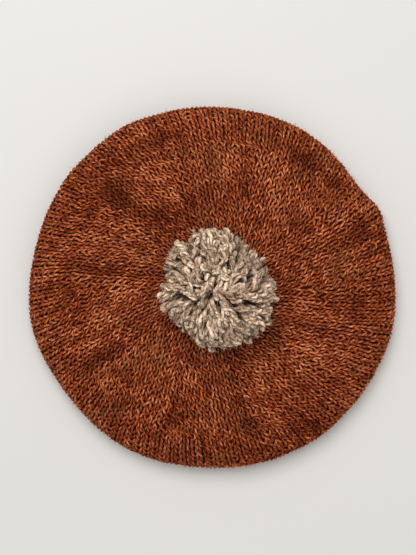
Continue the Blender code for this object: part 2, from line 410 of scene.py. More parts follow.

# Wool. In the looks, shade, fibre, ply and patches are shares in the lightness, which picks a
# colour of the stops. A noise is its scale and detail, and a range where it starts to show and
# where it is whole. The hollow shade is the colour of the painted shade in the hollows, mixed in
# as far as openness is under 1.
WOOL_FINISH = {
    "Roughness": 0.95,
    "Specular IOR Level": 0.05,
    "Sheen Weight": 0.12,
    "Sheen Roughness": 0.45,
}
NOISE_ROUGHNESS = 0.65
FIBRE_NOISE = (1.0, 3.0)
FIBRE_RELIEF = 0.7
PATCH_NOISE = (38.0, 3.0)
PATCH_RANGE = (0.48, 0.72)
FLECK_NOISE = (480.0, 1.0)
FLECK_RANGE = (0.56, 0.70)
RUST_LOOK = {
    "stops": (
        # lightness, colour
        (0.15, (0.070, 0.0080, 0.0014)),
        (0.45, (0.225, 0.0350, 0.0085)),
        (0.68, (0.460, 0.0980, 0.0270)),
        (0.95, (0.860, 0.2900, 0.1150)),
    ),
    "darkest": -0.72,
    "shade": 0.46,
    "fibre": 1.20,
    "ply": 0.44,
    "patches": 0.30,
    "patch": (0.130, 0.050, 0.014),
    "patch_share": 0.5,
    "fleck": (0.300, 0.170, 0.090),
    "fleck_share": 0.40,
    "hollow": (0.052, 0.0048, 0.0014),
    "hollow_share": 0.90,
    "twist": YARN_TWIST,
    "fibres_around": 9.0,
    "fibres_along": 700.0,
    "relief": 0.0006,
}
OAT_LOOK = {
    "stops": (
        # lightness, colour
        (0.20, (0.088, 0.048, 0.027)),
        (0.46, (0.300, 0.190, 0.119)),
        (0.68, (0.620, 0.440, 0.300)),
        (0.90, (1.000, 0.810, 0.620)),
    ),
    "darkest": -0.96,
    "shade": 0.40,
    "fibre": 2.00,
    "ply": 0.30,
    "patches": 0.25,
    "patch": (0.330, 0.220, 0.140),
    "patch_share": 0.4,
    "fleck": (0.240, 0.130, 0.070),
    "fleck_share": 0.45,
    "hollow": (0.085, 0.048, 0.028),
    "hollow_share": 0.85,
    "twist": STRAND_TWIST,
    "fibres_around": 6.0,
    "fibres_along": 420.0,
    "relief": 0.0010,
}

# Wool of one colour, as its darkest and lightest and the scale of its changes
PLAIN_DETAIL = 2.0
PLAIN_STOPS = (0.3, 0.7)
RUST_FIBRE = ((0.330, 0.070, 0.018), (0.700, 0.210, 0.070), 120.0)
OAT_FIBRE = ((0.450, 0.330, 0.230), (0.860, 0.710, 0.560), 120.0)
# Painted shade: the cloth's inside, seen between the stitches
SHADED_RUST = ((0.026, 0.0030, 0.0010), (0.050, 0.0060, 0.0020), 400.0)
# Painted shade: the pompom's heart, deep between its strands
SHADED_OAT = ((0.050, 0.030, 0.018), (0.110, 0.070, 0.042), 400.0)

# Floor, light and camera
FLOOR_HALF = 10.0
FLOOR_COLOUR = (0.62, 0.61, 0.59)
FLOOR_ROUGHNESS = 0.9
SKY_COLOUR = (1.0, 0.985, 0.96)
SKY_STRENGTH = 0.52
LIGHTS = (
    # name, place, size, power
    ("key", (-0.18, 0.50, 1.15), 0.8, 13),
    ("fill", (0.4, -0.8, 1.0), 1.0, 3),
)
CAMERA = {"lens": 65, "sensor_width": 36, "clip_start": 0.01}
CAMERA_XY = (-0.0032, 0.0076)
CAMERA_HEIGHT = 0.754

Round = namedtuple("Round", "at pitch stitches ribbed")

rng = np.random.default_rng(11)


# The cloth's surface

RIM_RADIUS = CROWN_DIAMETER / 2 - CROWN_WALL / 2
BAND_TOP_RADIUS = BAND_DIAMETER / 2 + BAND_FLARE
ARCH_TOP = BAND_HEIGHT + PIECE_GAP + BAND_END + ARCH_RADIUS
CROWN_TOP = ARCH_TOP + CROWN_WALL + LAYER_GAP + CROWN_RISE


def arc(centre, radius, first, last, steps):
    turns = np.radians(np.linspace(first, last, steps + 1))
    return [(centre[0] + radius * math.cos(t), centre[1] + radius * math.sin(t)) for t in turns]


def profile_points():
    """(radius, height) of the cloth's middle, from the eye over the rim to the cast-on edge."""
    fold_r = RIM_RADIUS - RIM_FOLD_RADIUS
    low_z = CROWN_WALL / 2 + RIM_FOLD_RADIUS
    high_z = low_z + 2 * RIM_UPRIGHT
    upper = arc((fold_r, high_z), RIM_FOLD_RADIUS, RIM_FOLD_START, 0, FOLD_TOP_STEPS)
    lower = arc((fold_r, low_z), RIM_FOLD_RADIUS, 0, -90, FOLD_FOOT_STEPS)
    start_r, start_z = upper[0]
    foot_r, foot_z = lower[-1]
    rise = CROWN_TOP - start_z
    top = [(EYE_RADIUS, start_z + EYE_HEIGHT_SHARE * rise)]
    top += [(reach * start_r, start_z + height * rise) for reach, height in TOP_SECTIONS]
    arch_r = BAND_TOP_RADIUS + ARCH_RADIUS
    arch_z = ARCH_TOP - ARCH_RADIUS
    near = arch_r + ARCH_RADIUS
    under = []
    for reach, height in UNDER_SECTIONS:
        under.append((near + reach * (foot_r - near), foot_z + height * (arch_z - foot_z)))
    arch = arc((arch_r, arch_z), ARCH_RADIUS, ARCH_START, 180, ARCH_STEPS)
    band = [
        (BAND_TOP_RADIUS, BAND_HEIGHT - BAND_END),
        (BAND_DIAMETER / 2, BAND_END),
        (BAND_DIAMETER / 2, CAST_ON_HEIGHT),
    ]
    return np.array(top + upper + lower + under + arch + band)


def distances(x, y):
    """How far along a line its points are."""
    return np.concatenate([[0.0], np.cumsum(np.hypot(np.diff(x), np.diff(y)))])


def rounded_profile(points):
    """(distance along, radius, height) of the profile with its corners rounded off."""
    along = distances(*points.T)
    even = np.linspace(0.0, along[-1], int(along[-1] / PROFILE_SPACING) + 1)
    reach = int(3 * PROFILE_SOFTNESS / PROFILE_SPACING)
    spots = np.arange(-reach, reach + 1) * PROFILE_SPACING
    weights = np.exp(-((spots / PROFILE_SOFTNESS) ** 2) / 2)
    weights /= weights.sum()
    found = []
    for values in points.T:
        line = np.pad(np.interp(even, along, values), reach, "reflect", reflect_type="odd")
        found.append(np.convolve(line, weights, "valid"))
    return distances(*found), *found


PROFILE = rounded_profile(profile_points())
RIM_INDEX = int(np.argmax(PROFILE[1]))
RIM_AT = PROFILE[0][RIM_INDEX]
TOP_AT, TOP_RADIUS = (values[: RIM_INDEX + 1] for values in PROFILE[:2])
CLOTH_END = PROFILE[0][-1]
BAND_AT = CLOTH_END - 2 * BAND_END - math.hypot(BAND_FLARE, BAND_HEIGHT - 2 * BAND_END)


def unit(vectors):
    return vectors / np.maximum(np.linalg.norm(vectors, axis=-1, keepdims=True), 1e-12)


def smooth_step(values, low, high):
    part = np.clip((values - low) / (high - low), 0, 1)
    return part * part * (3 - 2 * part)


def grown(shares, part):
    """The first share, with the second added as far as part goes from 0 to 1."""
    return shares[0] + shares[1] * part


def full_turn(steps):
    """Even angles round a full turn."""
    return np.arange(steps) / steps * 2 * math.pi


def polar(turn, radius, height):
    """Points at these angles, radii and heights."""
    height = height + 0 * turn
    return np.stack([radius * np.cos(turn), radius * np.sin(turn), height], axis=-1)


def bell(angle, centre, width):
    away = (angle - centre + 180) % 360 - 180
    return np.exp(-((away / width) ** 2) / 2)


def bumps(angle, table):
    """What the rows of azimuth, width and rise come to at this angle."""
    return sum(rise * bell(angle, at, width) for at, width, rise in table)


def relief(degrees, reach):
    """The small dents and swells of the crown's top, as shares of RELIEF_DEPTH."""
    rise = np.zeros_like(reach)
    for at, place, across, length, share in DENTS_AND_SWELLS:
        width = math.degrees(across / MM_PER_METRE / (place * RIM_RADIUS))
        along = (reach - place) * RIM_RADIUS / (length / MM_PER_METRE)
        rise += share * np.exp(-(along**2) / 2) * bell(degrees, at, width)
    return rise


def fold_height(degrees, reach):
    """Rise of the crown's top over its plain form."""
    rise = RELIEF_DEPTH * relief(degrees, reach)
    for at, width, place, length, share in FOLDS:
        along = np.exp(-(((reach - place) / length) ** 2) / 2)
        rise += share * CROWN_WALL * along * bell(degrees, at, width)
    deeper = (DEEP_DENT - SHALLOW_DENT) * smooth_step(reach, *DEEP_DENT_REACHES)
    rise = np.maximum(rise, -(SHALLOW_DENT + deeper)) * np.clip((1 - reach) / RUN_OUT_SHARE, 0, 1)
    valley = (reach - VALLEY_START_SHARE) / (VALLEY_END_SHARE - VALLEY_START_SHARE)
    between = np.sin(np.pi * np.clip(valley, 0, 1))
    wedge = np.maximum(np.cos(np.radians(WEDGES * (degrees - FIRST_DECREASE_LINE))), 0)
    return rise - WEDGE_VALLEY * between * wedge**2


def ripples(count, slowest, fastest):
    """Waves (radians a metre, way, phase) for the unevenness of hand-knitted cloth."""
    turns = rng.uniform(0, 2 * math.pi, (count, 2))
    return np.column_stack([rng.uniform(slowest, fastest, count), turns])


RISING, ASIDE, OUTWARD = (ripples(*CLOTH_WAVES) for _ in range(3))
BLOTCHES = ripples(*BLOTCH_WAVES)


def unevenness(waves, x, y):
    """Slow random rise and fall, mostly from -1 to 1."""
    total = np.zeros_like(x)
    for pitch, way, phase in waves:
        total += np.sin(pitch * (x * math.cos(way) + y * math.sin(way)) + phase)
    return total * 2 / len(waves)


STREAKS = np.column_stack(
    [
        rng.integers(*STREAK_COUNTS, STREAK_WAVES),
        rng.normal(0, STREAK_SLANT, STREAK_WAVES),
        rng.uniform(0, STREAK_STARTS, STREAK_WAVES),
    ]
)


def streaks(along, turn):
    """Lighter and darker wales, mostly from -1 to 1."""
    total = sum(np.sin(count * turn + slant * along + start) for count, slant, start in STREAKS)
    return total * 2 / len(STREAKS)


def top_share(along):
    """1 on the crown's top, falling to 0 at the rim."""
    return np.clip((RIM_AT - along) / TOP_FADE, 0, 1)


def rim_share(along):
    """1 at the middle of the rim, falling to 0 on both sides."""
    return np.exp(-(((along - RIM_AT) / RIM_SPREAD) ** 2))


def cloth(along, turn):
    """Points of the cloth's middle, at this distance along it from the eye and this azimuth."""
    radius = np.interp(along, PROFILE[0], PROFILE[1])
    height = np.interp(along, PROFILE[0], PROFILE[2])
    degrees = np.degrees(turn)
    reach = radius / RIM_RADIUS
    on_top = top_share(along)
    outer = np.clip((reach - OUTLINE_SHARE) / (1 - OUTLINE_SHARE), 0, 1)
    radius = radius * (1 + bumps(degrees, OUTLINE_BUMPS) * outer**2)
    x = radius * np.cos(turn)
    y = radius * np.sin(turn)
    ripple = CLOTH_RIPPLE * unevenness(RISING, x, y)
    height = height + on_top * (fold_height(degrees, reach) + ripple)
    wander = on_top * CLOTH_WANDER
    x, y = x + wander * unevenness(ASIDE, x, y), y + wander * unevenness(OUTWARD, x, y)
    return np.stack([x, y, height], axis=-1)


def cloth_normal(along, turn):
    """Outward normals of the cloth."""
    radius = np.maximum(np.interp(along, PROFILE[0], PROFILE[1]), EYE_RADIUS)
    down = cloth(along + NORMAL_STEP, turn) - cloth(along - NORMAL_STEP, turn)
    swing = NORMAL_STEP / radius
    around = cloth(along, turn + swing) - cloth(along, turn - swing)
    return unit(np.cross(down, around))


# Rounds of stitches


def skew(along):
    """How far the wales have turned from straight lines to the eye, as they run to the rim."""
    lean = SKEW_INSIDE + (SKEW_AT_RIM - SKEW_INSIDE) * smooth_step(TOP_RADIUS, *SKEW_RADII)
    turned = np.cumsum(np.tan(np.radians(lean)) * np.gradient(TOP_RADIUS) / TOP_RADIUS)
    return np.interp(along, TOP_AT, turned)


def stitch_turns(count):
    """Azimuths of the middles of a wedge's stitches, from the wedge's start."""
    return (np.arange(count) + 0.5) / count * (2 * math.pi / WEDGES)


def plan_rounds():
    """The rounds in knitting order: distance along the cloth, pitch, stitches a wedge, ribbed."""
    rounds = []
    at = CLOTH_END - LOOP_HEIGHT * RIB_PITCH
    while at > BAND_AT + LAST_RIB_SHARE * RIB_PITCH:
        rounds.append(Round(at, RIB_PITCH, RIB_STITCHES_PER_WEDGE, True))
        at -= RIB_PITCH
    last = LOOP_HEIGHT * ROUND_PITCH
    count = round((at - last) / ROUND_PITCH)
    pitch = (at - last) / count
    stitches = STITCHES_PER_WEDGE
    shaped = 0
    for _ in range(count + 1):
        radius = np.interp(at, PROFILE[0], PROFILE[1])
        if at < RIM_AT and radius < SHAPING_RADIUS:
            shaped += 1
            if shaped % ROUNDS_PER_DECREASE == 0 and stitches > LAST_STITCHES_PER_WEDGE:
                stitches -= 1
        rounds.append(Round(at, pitch, stitches, False))
        at -= pitch
    return rounds


def neighbours(count, other, towards):
    """Where a wedge's stitches go to in the next round, or come from in the last one."""
    own = stitch_turns(count)
    if other is None or abs(other - count) > 1:
        return own
    theirs = stitch_turns(other)
    if other == count:
        return theirs
    spread = DECREASE_SPREAD * (2 * math.pi / WEDGES / count)
    found = own.copy()
    if towards and other == count - 1:
        found[:-1] = theirs
        found[-1] = theirs[-1] + spread
        found[-2] = theirs[-1] - spread
    elif not towards and other == count + 1:
        found[:] = theirs[:-1]
        found[-1] = (theirs[-1] + theirs[-2]) / 2
    return found


def whole_round(wedge):
    starts = np.arange(WEDGES) * 2 * math.pi / WEDGES - math.radians(FIRST_DECREASE_LINE)
    return (starts[:, None] + wedge[None, :]).ravel()


def loop_path(before, here, after, steps):
    """One round's yarn as rings of values: distance along, azimuth, rise, and share of a leg.

    One stitch is one turn of t. The yarn is at the stitch's foot at 0 and at its head at half a
    turn, and its legs stand out between them. The wedges are knitted clockwise, so azimuths are
    mirrored until the end.
    """
    own = whole_round(stitch_turns(here.stitches))
    source = whole_round(neighbours(here.stitches, before.stitches if before else None, False))
    goal = whole_round(neighbours(here.stitches, after.stitches if after else None, True))
    total = len(own)
    t = full_turn(steps)
    high = LOOP_HEIGHT * here.pitch
    lift = -high * np.cos(t)
    share = lift / here.pitch
    width = 2 * math.pi / total
    next_width = width
    if after and abs(after.stitches - here.stitches) <= 1:
        next_width = 2 * math.pi / (after.stitches * WEDGES)
    down = np.minimum(share, 0)[None, :]
    up = np.maximum(share, 0)[None, :]
    middle = own[:, None] - (source - own)[:, None] * down + (goal - own)[:, None] * up
    wide = width + (next_width - width) * up
    middle += PLACE_JITTER * width * rng.standard_normal((total, 1))
    lean = LOOP_LEAN * (1 + LEAN_JITTER * rng.standard_normal((total, 1)))
    across = (t / (2 * math.pi) - 0.5 + LEG_STRAIGHTENING * np.sin(4 * t))[None, :]
    across = across + lean * np.sin(2 * t)[None, :]
    turn = middle + across * wide
    end = middle[:, 0] + 0.5 * wide[0, 0]
    end = np.concatenate([[end[-1] - 2 * math.pi], end[:-1]])
    turn[:, 0] = (turn[:, 0] + end) / 2
    along = here.at - lift[None, :] * (1 + HEIGHT_JITTER * rng.standard_normal((total, 1)))
    along[:, 0] = here.at + high
    front = -np.cos(2 * t)[None, :] * (1 + DEPTH_JITTER * rng.standard_normal((total, 1)))
    flatter = 1 - RIM_FLATTENING * rim_share(along)
    rise = LOOP_DEPTH * flatter * front
    if here.ribbed:
        side = np.where(np.arange(total) % 2 == 0, 1.0, -1.0)[:, None]
        ring = (side * (RIB_DEPTH + rise)).ravel()
        for _ in range(RIB_SMOOTHINGS):
            ring = (np.roll(ring, 1) + 2 * ring + np.roll(ring, -1)) / 4
        rise = ring.reshape(rise.shape)
    legs = np.tile(np.sin(t) ** 2, total)
    return along.ravel(), skew(along.ravel()) - turn.ravel(), rise.ravel(), legs


# Objects, and tubes of yarn


def add_object(name, data):
    made = bpy.data.objects.new(name, data)
    bpy.context.scene.collection.objects.link(made)
    return made


def add_piece(name, mesh, look, node):
    """A smooth piece of the hat, which stands for a node of the frame."""
    mesh.materials.append(look)
    mesh.shade_smooth()
    made = add_object(name, mesh)
    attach(made, "root")
    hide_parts(node)


def quads(i, j, sides):
    """The corners of the faces between the rings i and j of points."""
    k = np.arange(sides)
    m = (k + 1) % sides
    return np.stack([i * sides + k, j * sides + k, j * sides + m, i * sides + m], axis=-1)


class Yarn:
    """Collects tubes of yarn and makes one mesh of them."""

    def __init__(self, sides):
        self.sides = sides
        self.points = []
        self.faces = []
        self.corners = []
        self.shade = []
        self.open = []
        self.rings = 0
        self.start = 0
        self.turns = full_turn(sides)
        self.section = polar(self.turns, 1, 0)[:, :2]

    def add(
        self, paths, aims, sizes, shade, openness, closed=False, twist=PLAIN_TWIST, depth=0, fray=0
    ):
        """Tubes along paths, given as arrays of tube, ring and axis.

        sizes are half sizes across the aim and along it, and openness is 0 in the hollows and 1
        outside. Two plies are twisted once round each other in the length twist, and the groove
        between them is this deep, as a share of the half size. fray roughens the tube.
        """
        wide, thick = sizes
        tubes, count = paths.shape[:2]
        gone = np.linalg.norm(np.roll(paths, -1, axis=1) - paths, axis=2)
        travelled = np.concatenate([np.zeros((tubes, 1)), np.cumsum(gone, axis=1)], axis=1)
        travelled += twist * rng.uniform(0, TWIST_STARTS, (tubes, 1))
        spun = travelled[:, :count, None] / twist * 2 * math.pi
        lobes = 1 - depth * np.sin(self.turns - spun) ** 2
        lobes = lobes * (1 + fray * rng.uniform(-1, 1, lobes.shape))
        if closed:
            tangent = unit(np.roll(paths, -1, axis=1) - np.roll(paths, 1, axis=1))
        else:
            tangent = unit(np.gradient(paths, axis=1))
        side = unit(np.cross(tangent, aims))
        up = np.cross(side, tangent)
        reach = self.section[None, None] * lobes[..., None]
        points = (
            paths[:, :, None]
            + (reach[..., 0] * wide[..., None])[..., None] * side[:, :, None]
            + (reach[..., 1] * thick[..., None])[..., None] * up[:, :, None]
        )
        self.points.append(points.reshape(-1, 3))
        steps = count if closed else count - 1
        tube = np.arange(tubes)[:, None, None, None] * count * self.sides
        i = np.arange(steps)[:, None]
        corner = tube + quads(i, (i + 1) % count, self.sides)
        self.faces.append(corner.reshape(-1, 4) + self.start)
        first = travelled[:, :steps, None]
        second = travelled[:, 1 : steps + 1, None]
        low = np.arange(self.sides) / self.sides
        high = low + 1 / self.sides
        ends = [(first, low), (second, low), (second, high), (first, high)]
        ends = [np.stack(np.broadcast_arrays(*end), axis=-1) for end in ends]
        self.corners.append(np.stack(ends, axis=-2).reshape(-1, 2))
        each = (tubes, count, self.sides)
        self.shade.append(np.broadcast_to(shade[..., None], each).ravel())
        # openness sets how much painted shade the wool puts on each point
        self.open.append(np.broadcast_to(openness, each).ravel())
        self.start += tubes * count * self.sides
        self.rings += tubes * steps

    def add_even(self, paths, aim, half_width, shade, openness, closed=False):
        """Tubes of one width and shade all along."""
        even = np.ones(paths.shape[:2])
        wide = half_width * even
        self.add(paths, np.array([[aim]]), (wide, wide), shade * even, openness, closed)

    def bake_map(self):
        """A map that gives each quad of the tubes its own cell, row by row."""
        rows_high = self.sides + 1
        per_row = math.ceil(math.sqrt(self.rings * rows_high))
        rows = math.ceil(self.rings / per_row)
        ring = np.repeat(np.arange(self.rings), self.sides)
        side = np.tile(np.arange(self.sides), self.rings)
        x = ring % per_row
        y = ring // per_row * rows_high + side + 0.5
        cell = [(0, 0), (1, 0), (1, 1), (0, 1)]
        uv = np.stack([np.stack([x + right, y + up], axis=-1) for right, up in cell], axis=1)
        return uv.reshape(-1, 2) / np.array([per_row, rows * rows_high])

    def piece(self, name, look, node):
        """The collected tubes as one mesh, which replaces a node of the frame."""
        points = np.concatenate(self.points)
        points[:, 2] = np.maximum(points[:, 2], TABLE_CLEARANCE)
        faces = np.concatenate(self.faces)
        mesh = bpy.data.meshes.new(name)
        mesh.vertices.add(len(points))
        mesh.vertices.foreach_set("co", points.ravel())
        mesh.loops.add(faces.size)
        mesh.loops.foreach_set("vertex_index", faces.ravel())
        mesh.polygons.add(len(faces))
        mesh.polygons.foreach_set("loop_start", np.arange(0, faces.size, 4))
        mesh.polygons.foreach_set("loop_total", np.full(len(faces), 4))
        mesh.update(calc_edges=True)
        for label, values in (("Yarn", np.concatenate(self.corners)), ("OFBake", self.bake_map())):
            layer = mesh.uv_layers.new(name=label)
            layer.data.foreach_set("uv", values.ravel())
        for label, values in (("shade", self.shade), ("open", self.open)):
            layer = mesh.attributes.new(label, "FLOAT", "POINT")
            layer.data.foreach_set("value", np.concatenate(values))
        add_piece(name, mesh, look, node)


def smooth_noise(count, pitch):
    """Random values from 0 to 1 round a ring, changing slowly."""
    knots = max(FEWEST_KNOTS, int(count / pitch))
    values = rng.random(knots)
    spots = np.arange(count) / count * knots
    low = spots.astype(int)
    part = smooth_step(spots - low, 0, 1)
    return values[low % knots] * (1 - part) + values[(low + 1) % knots] * part


def add_fibres(yarn, roots, ways, lengths):
    """Single fine fibres that stand off the yarn, each bent a little at random."""
    t = np.linspace(0, 1, len(FIBRE_TAPER))[None, :, None]
    bend = FIBRE_BEND * rng.standard_normal(ways.shape)
    paths = roots[:, None] + (ways[:, None] * t + bend[:, None] * t**2) * lengths[:, None, None]
    aims = unit(np.cross(ways, rng.standard_normal(ways.shape)))[:, None]
    thin = FIBRE_WIDTH / 2 * np.array(FIBRE_TAPER) * np.ones((len(roots), 1))
    shade = rng.uniform(*FIBRE_SHADES, (len(roots), 1))
    yarn.add(paths, aims, (thin, thin), shade, 1.0)


# Materials


def fill(tree, made, inputs):
    """Give a node's inputs, by name or number, their values or the outputs they are linked to."""
    for name, value in inputs.items():
        if isinstance(value, bpy.types.NodeSocket):
            tree.links.new(value, made.inputs[name])
        else:
            made.inputs[name].default_value = value


def put(tree, kind, inputs=None, **settings):
    made = tree.nodes.new(kind)
    for name, value in settings.items():
        setattr(made, name, value)
    fill(tree, made, inputs or {})
    return made


def node_tree(name, sheen_tint):
    """A new material of matte wool, with its node tree and shader."""
    made = bpy.data.materials.new(name)
    made.use_nodes = True
    shader = made.node_tree.nodes["Principled BSDF"]
    fill(made.node_tree, shader, WOOL_FINISH | {"Sheen Tint": (*sheen_tint, 1.0)})
    return made, made.node_tree, shader


def maths(tree, operation, *values):
    made = put(tree, "ShaderNodeMath", dict(enumerate(values)), operation=operation)
    return made.outputs[0]


def noise(tree, place, scale, detail):
    inputs = {"Vector": place, "Scale": scale, "Detail": detail, "Roughness": NOISE_ROUGHNESS}
    return put(tree, "ShaderNodeTexNoise", inputs).outputs["Fac"]


def ramp(tree, value, stops):
    made = put(tree, "ShaderNodeValToRGB", {"Fac": value})
    marks = made.color_ramp.elements
    while len(marks) < len(stops):
        marks.new(0.5)
    for mark, (place, colour) in zip(marks, stops):
        mark.position = place
        mark.color = (*colour, 1.0)
    return made.outputs["Color"]


def above(tree, value, low, high, share):
    """0 where the value is under low, rising to the share at high."""
    inputs = {"Value": value, "From Min": low, "From Max": high, "To Max": share}
    made = put(tree, "ShaderNodeMapRange", inputs, interpolation_type="SMOOTHSTEP")
    return made.outputs["Result"]


def mix(tree, share, first, colour):
    inputs = {"Factor": share, "A": first, "B": (*colour, 1.0)}
    return put(tree, "ShaderNodeMix", inputs, data_type="RGBA").outputs["Result"]


def wool(name, look):
    """Wool yarn: fibres and ply along the yarn, heathered patches, and painted shade in the
    hollows.
    """
    stops = look["stops"]
    twist = look["twist"]
    fibres_around = look["fibres_around"]
    made, tree, shader = node_tree(name, stops[-1][1])
    yarn_map = put(tree, "ShaderNodeUVMap", uv_map="Yarn").outputs["UV"]
    parts = put(tree, "ShaderNodeSeparateXYZ", {0: yarn_map})
    length, around = parts.outputs[0], parts.outputs[1]
    place = put(tree, "ShaderNodeTexCoord").outputs["Object"]
    shade = put(tree, "ShaderNodeAttribute", attribute_name="shade").outputs["Fac"]
    openness = put(tree, "ShaderNodeAttribute", attribute_name="open").outputs["Fac"]

    turned = maths(tree, "MULTIPLY", length, -2 * math.pi / twist)
    spiral = maths(tree, "MULTIPLY_ADD", around, 2 * math.pi, turned)
    ply = maths(tree, "ABSOLUTE", maths(tree, "COSINE", spiral))
    along = maths(tree, "MULTIPLY", length, look["fibres_along"])
    slant = maths(tree, "MULTIPLY", length, -fibres_around / twist)
    slant = maths(tree, "MULTIPLY_ADD", around, fibres_around, slant)
    fibre_place = put(tree, "ShaderNodeCombineXYZ", {0: along, 1: slant}).outputs[0]
    fibre = noise(tree, fibre_place, *FIBRE_NOISE)
    patches = noise(tree, place, *PATCH_NOISE)

    tone = maths(tree, "MULTIPLY_ADD", shade, look["shade"], look["darkest"])
    for value, share in ((fibre, "fibre"), (ply, "ply"), (patches, "patches")):
        tone = maths(tree, "MULTIPLY_ADD", value, look[share], tone)
    colour = ramp(tree, tone, stops)
    patched = above(tree, patches, *PATCH_RANGE, look["patch_share"])
    colour = mix(tree, patched, colour, look["patch"])
    flecked = above(tree, noise(tree, place, *FLECK_NOISE), *FLECK_RANGE, look["fleck_share"])
    colour = mix(tree, flecked, colour, look["fleck"])
    # Painted shade in the hollows, as far as openness is under 1
    deep = maths(tree, "MULTIPLY_ADD", openness, -look["hollow_share"], look["hollow_share"])
    colour = mix(tree, deep, colour, look["hollow"])
    height = maths(tree, "MULTIPLY_ADD", fibre, FIBRE_RELIEF, ply)
    bump = put(tree, "ShaderNodeBump", {"Distance": look["relief"], "Height": height})
    fill(tree, shader, {"Base Color": colour, "Normal": bump.outputs["Normal"]})
    return made


def plain_wool(name, dark, light, scale):
    """Wool of one colour, a little lighter and darker in places."""
    made, tree, shader = node_tree(name, light)
    place = put(tree, "ShaderNodeTexCoord").outputs["Object"]
    stops = tuple(zip(PLAIN_STOPS, (dark, light)))
    colour = ramp(tree, noise(tree, place, scale, PLAIN_DETAIL), stops)
    fill(tree, shader, {"Base Color": colour})
    return made


rust = wool("rust_wool", RUST_LOOK)
oat = wool("oatmeal_wool", OAT_LOOK)
rust_fibre = plain_wool("rust_fibre", *RUST_FIBRE)
oat_fibre = plain_wool("oatmeal_fibre", *OAT_FIBRE)
shaded_rust = plain_wool("shaded_rust", *SHADED_RUST)
shaded_oat = plain_wool("shaded_oatmeal", *SHADED_OAT)


# The knitted pieces


def add_round(yarn, before, here, after, steps):
    """One round of stitches; returns its path and outward ways for the fibres, and leg shares."""
    along, turn, rise, legs = loop_path(before, here, after, steps)
    normal = cloth_normal(along, turn)
    path = cloth(along, turn) + normal * rise[:, None]
    radius = np.interp(along, PROFILE[0], PROFILE[1])
    reach = radius / RIM_RADIUS
    at_rim = rim_share(along)
    stitch = 2 * math.pi * radius / (here.stitches * WEDGES)
    wide = np.minimum(YARN_WIDTH, YARN_SHARE * stitch) / 2 * grown(WIDTH_SHARES, legs)
    thick = np.minimum(YARN_THICKNESS / 2, wide) * grown(THICKNESS_SHARES, legs)
    wide *= grown(UNEVEN_WIDTH, smooth_noise(len(wide), steps * UNEVEN_WIDTH_STITCHES))
    wide *= 1 + RIM_WIDENING * at_rim
    # Openness paints shade into the hollows and the legs' ends, less at the rim and in ribbing
    level = rise[:, None] + yarn.section[:, 1] * thick[:, None]
    level = level / (LOOP_DEPTH + YARN_THICKNESS / 2)
    facing = (1 + yarn.section[:, 1]) / 2
    openness = (1 + level) / 2 * facing + (1 - level) / 2 * (1 - facing)
    openness = smooth_step(openness, *HOLLOW_TO_OPEN)
    ends = 1 - smooth_step(legs, *LEG_END_TO_MIDDLE)
    openness *= 1 - PAINTED_LEG_END_SHADE * facing * ends[:, None]
    least = RIB_OPENNESS if here.ribbed else RIM_OPENNESS * at_rim[:, None]
    openness = np.maximum(openness, least)
    dent = top_share(along) * relief(np.degrees(turn), reach)
    shade = smooth_noise(len(wide), steps * STITCH_SHADE_STITCHES)
    shade = 0.5 + STITCH_SHADE * (shade - 0.5)
    # Painted shade in the dents and painted light on the swells
    shade += PAINTED_DENT_SHADE * np.minimum(dent, 0) + PAINTED_SWELL_LIGHT * np.maximum(dent, 0)
    shade += STREAK_SHADE * streaks(along, turn)
    shade += BLOTCH_SHADE * unevenness(BLOTCHES, path[:, 0], path[:, 1])
    # Painted shade towards the shoulder
    shade -= PAINTED_SHOULDER_SHADE * smooth_step(reach, *SHOULDER_REACHES)
    tube = [path[None], normal[None], (wide[None], thick[None]), shade[None], openness[None]]
    yarn.add(*tube, closed=True, twist=YARN_TWIST, depth=YARN_PLY_DEPTH)
    return path, normal * np.sign(rise)[:, None], legs


def knit(name, chosen, loop, node, fibres, finish=None):
    """A piece of knitting from some of the rounds, with this many fine fibres a stitch.

    loop is the rings of a stitch and the sides of its yarn, and finish adds what ends the piece.
    """
    steps, sides = loop
    yarn = Yarn(sides)
    fuzz = Yarn(FIBRE_SIDES)
    for index in chosen:
        before = rounds[index - 1] if index else None
        after = rounds[index + 1] if index + 1 < len(rounds) else None
        path, outward, legs = add_round(yarn, before, rounds[index], after, steps)
        tangent = unit(np.roll(path, -1, axis=0) - np.roll(path, 1, axis=0))
        stitches = rounds[index].stitches * WEDGES
        spots = rng.choice(np.flatnonzero(legs > FIBRE_LEG_SHARE), round(stitches * fibres))
        ways = tangent[spots] * rng.choice([-1.0, 1.0], (len(spots), 1))
        scatter = FIBRE_SCATTER * rng.standard_normal((len(spots), 3))
        ways = unit(ways + FIBRE_OUTWARD * outward[spots] + scatter)
        roots = path[spots] + FIBRE_ROOT * YARN_THICKNESS * outward[spots]
        add_fibres(fuzz, roots, ways, rng.uniform(*FIBRE_LENGTHS, len(spots)))
    if finish:
        finish(yarn)
    yarn.piece(name, rust, node)
    fuzz.piece(name + "_fuzz", rust_fibre, node)


def add_cast_on(yarn):
    """The cast-on edge: yarn wrapped once round the edge for each stitch."""
    wraps = RIB_STITCHES_PER_WEDGE * WEDGES
    steps = CAST_ON_STEPS_PER_WRAP * wraps
    turn = full_turn(steps)
    spin = wraps * turn
    radius = BAND_DIAMETER / 2 + CAST_ON_RADIUS * np.cos(spin)
    path = polar(turn, radius, CAST_ON_HEIGHT + CAST_ON_RADIUS * np.sin(spin))
    wide = np.full((1, steps), CAST_ON_HALF_WIDTH)
    aims = polar(turn, 1, CAST_ON_TILT)[None]
    shade = grown(CAST_ON_SHADES, smooth_noise(steps, CAST_ON_SHADE_PITCH)[None])
    yarn.add(path[None], aims, (wide, wide), shade, CAST_ON_OPENNESS, closed=True)


